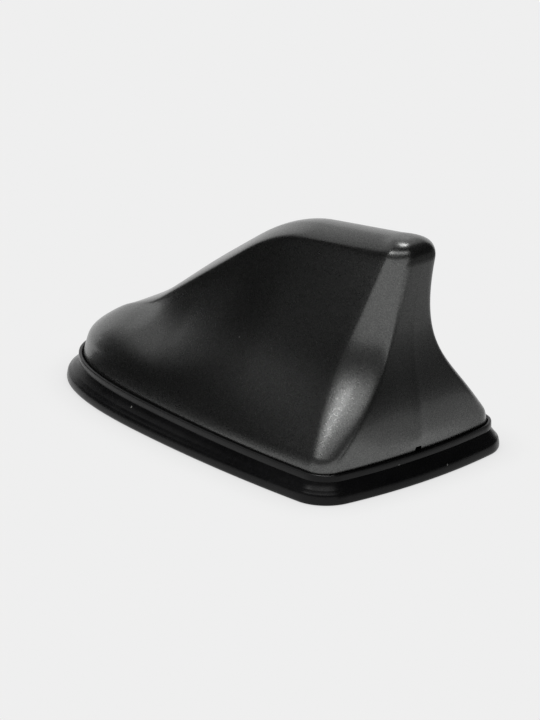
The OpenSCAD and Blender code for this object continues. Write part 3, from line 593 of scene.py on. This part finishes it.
def add_card(name, azimuths, elevations, radiance):
    """A patch of a sphere round the part, hidden from the camera."""
    nu, nv = 24, 12
    points = []
    for i in range(nu + 1):
        a = math.radians(mix(*azimuths, i / nu))
        for k in range(nv + 1):
            e = math.radians(mix(*elevations, k / nv))
            points.append((CARD_DISTANCE * math.cos(a) * math.cos(e),
                           CARD_DISTANCE * math.sin(a) * math.cos(e), CARD_DISTANCE * math.sin(e)))
    faces = [(i * (nv + 1) + k, (i + 1) * (nv + 1) + k, (i + 1) * (nv + 1) + k + 1, i * (nv + 1) + k + 1)
             for i in range(nu) for k in range(nv)]
    mesh = bpy.data.meshes.new(name)
    mesh.from_pydata(points, [], faces)
    mesh.materials.append(glow(name, radiance))
    card = bpy.data.objects.new(name, mesh)
    bpy.context.scene.collection.objects.link(card)
    card.visible_camera = False
    card.visible_shadow = False


for name, (azimuths, elevations, radiance) in CARDS.items():
    add_card(name, azimuths, elevations, radiance)


def seen_ray(tree):
    """1 for what the camera sees, straight or in gloss or through glass, and 0 for plain light."""
    path, value = tree.nodes.new("ShaderNodeLightPath"), None
    for kind in ("Is Camera Ray", "Is Glossy Ray", "Is Transmission Ray"):
        if value is None:
            value = path.outputs[kind]
            continue
        either = tree.nodes.new("ShaderNodeMath")
        either.operation = "MAXIMUM"
        tree.links.new(value, either.inputs[0])
        tree.links.new(path.outputs[kind], either.inputs[1])
        value = either.outputs[0]
    return value


def add_world():
    """Pale where a camera, a mirror or glass looks, dimmer as light."""
    world = bpy.data.worlds.new("studio")
    bpy.context.scene.world = world
    world.use_nodes = True
    tree = world.node_tree
    tree.nodes.clear()
    seen, studio = tree.nodes.new("ShaderNodeBackground"), tree.nodes.new("ShaderNodeBackground")
    seen.inputs["Color"].default_value = (BACKGROUND, BACKGROUND, BACKGROUND, 1)
    studio.inputs["Color"].default_value = (1, 1, 1, 1)
    studio.inputs["Strength"].default_value = SKY_LIGHT
    choose, out = tree.nodes.new("ShaderNodeMixShader"), tree.nodes.new("ShaderNodeOutputWorld")
    tree.links.new(seen_ray(tree), choose.inputs[0])
    tree.links.new(studio.outputs[0], choose.inputs[1])
    tree.links.new(seen.outputs[0], choose.inputs[2])
    tree.links.new(choose.outputs[0], out.inputs["Surface"])


def add_floor():
    """A pale ground with a painted shadow that darkens it a little close to the part."""
    bpy.ops.mesh.primitive_circle_add(vertices=96, radius=FLOOR_R, fill_type="NGON",
                                      location=(0, 0, -FLOOR_GAP))
    floor = bpy.context.object
    floor.name = "floor"
    material = bpy.data.materials.new("floor")
    material.use_nodes = True
    tree = material.node_tree
    tree.nodes.clear()
    light = tree.nodes.new("ShaderNodeEmission")
    out = tree.nodes.new("ShaderNodeOutputMaterial")
    choose = tree.nodes.new("ShaderNodeMixShader")
    plain = tree.nodes.new("ShaderNodeBsdfDiffuse")
    plain.inputs["Color"].default_value = (GROUND, GROUND, GROUND, 1)
    # Painted shadow: ambient occlusion darkens the ground's emitted tone near the part
    shade, under = tree.nodes.new("ShaderNodeAmbientOcclusion"), tree.nodes.new("ShaderNodeMapRange")
    shade.inputs["Distance"].default_value = SHADOW_REACH
    tree.links.new(shade.outputs["AO"], under.inputs["Value"])
    under.inputs["To Min"].default_value = SHADOW * BACKGROUND
    under.inputs["To Max"].default_value = BACKGROUND
    tree.links.new(under.outputs["Result"], light.inputs["Color"])
    tree.links.new(seen_ray(tree), choose.inputs[0])
    tree.links.new(plain.outputs[0], choose.inputs[1])
    tree.links.new(light.outputs[0], choose.inputs[2])
    tree.links.new(choose.outputs[0], out.inputs["Surface"])
    floor.data.materials.append(material)


def add_cloth(name, azimuths, reach, radiance):
    """A cloth on the floor, seen only in reflections."""
    n = 24
    (a0, a1), points = azimuths, []
    for i in range(n + 1):
        a = math.radians(mix(a0, a1, i / n))
        points += [(r * math.cos(a), r * math.sin(a), CLOTH_LIFT) for r in reach]
    mesh = bpy.data.meshes.new(name)
    mesh.from_pydata(points, [], [(2 * i, 2 * i + 1, 2 * i + 3, 2 * i + 2) for i in range(n)])
    mesh.materials.append(glow(name, radiance))
    card = bpy.data.objects.new(name, mesh)
    bpy.context.scene.collection.objects.link(card)
    card.visible_camera = False
    card.visible_diffuse = False
    card.visible_shadow = False


for name, (azimuths, reach, radiance) in CLOTHS.items():
    add_cloth(name, azimuths, reach, radiance)
add_world()
add_floor()
bpy.context.scene.view_settings.view_transform = "Standard"

bpy.context.view_layer.update()
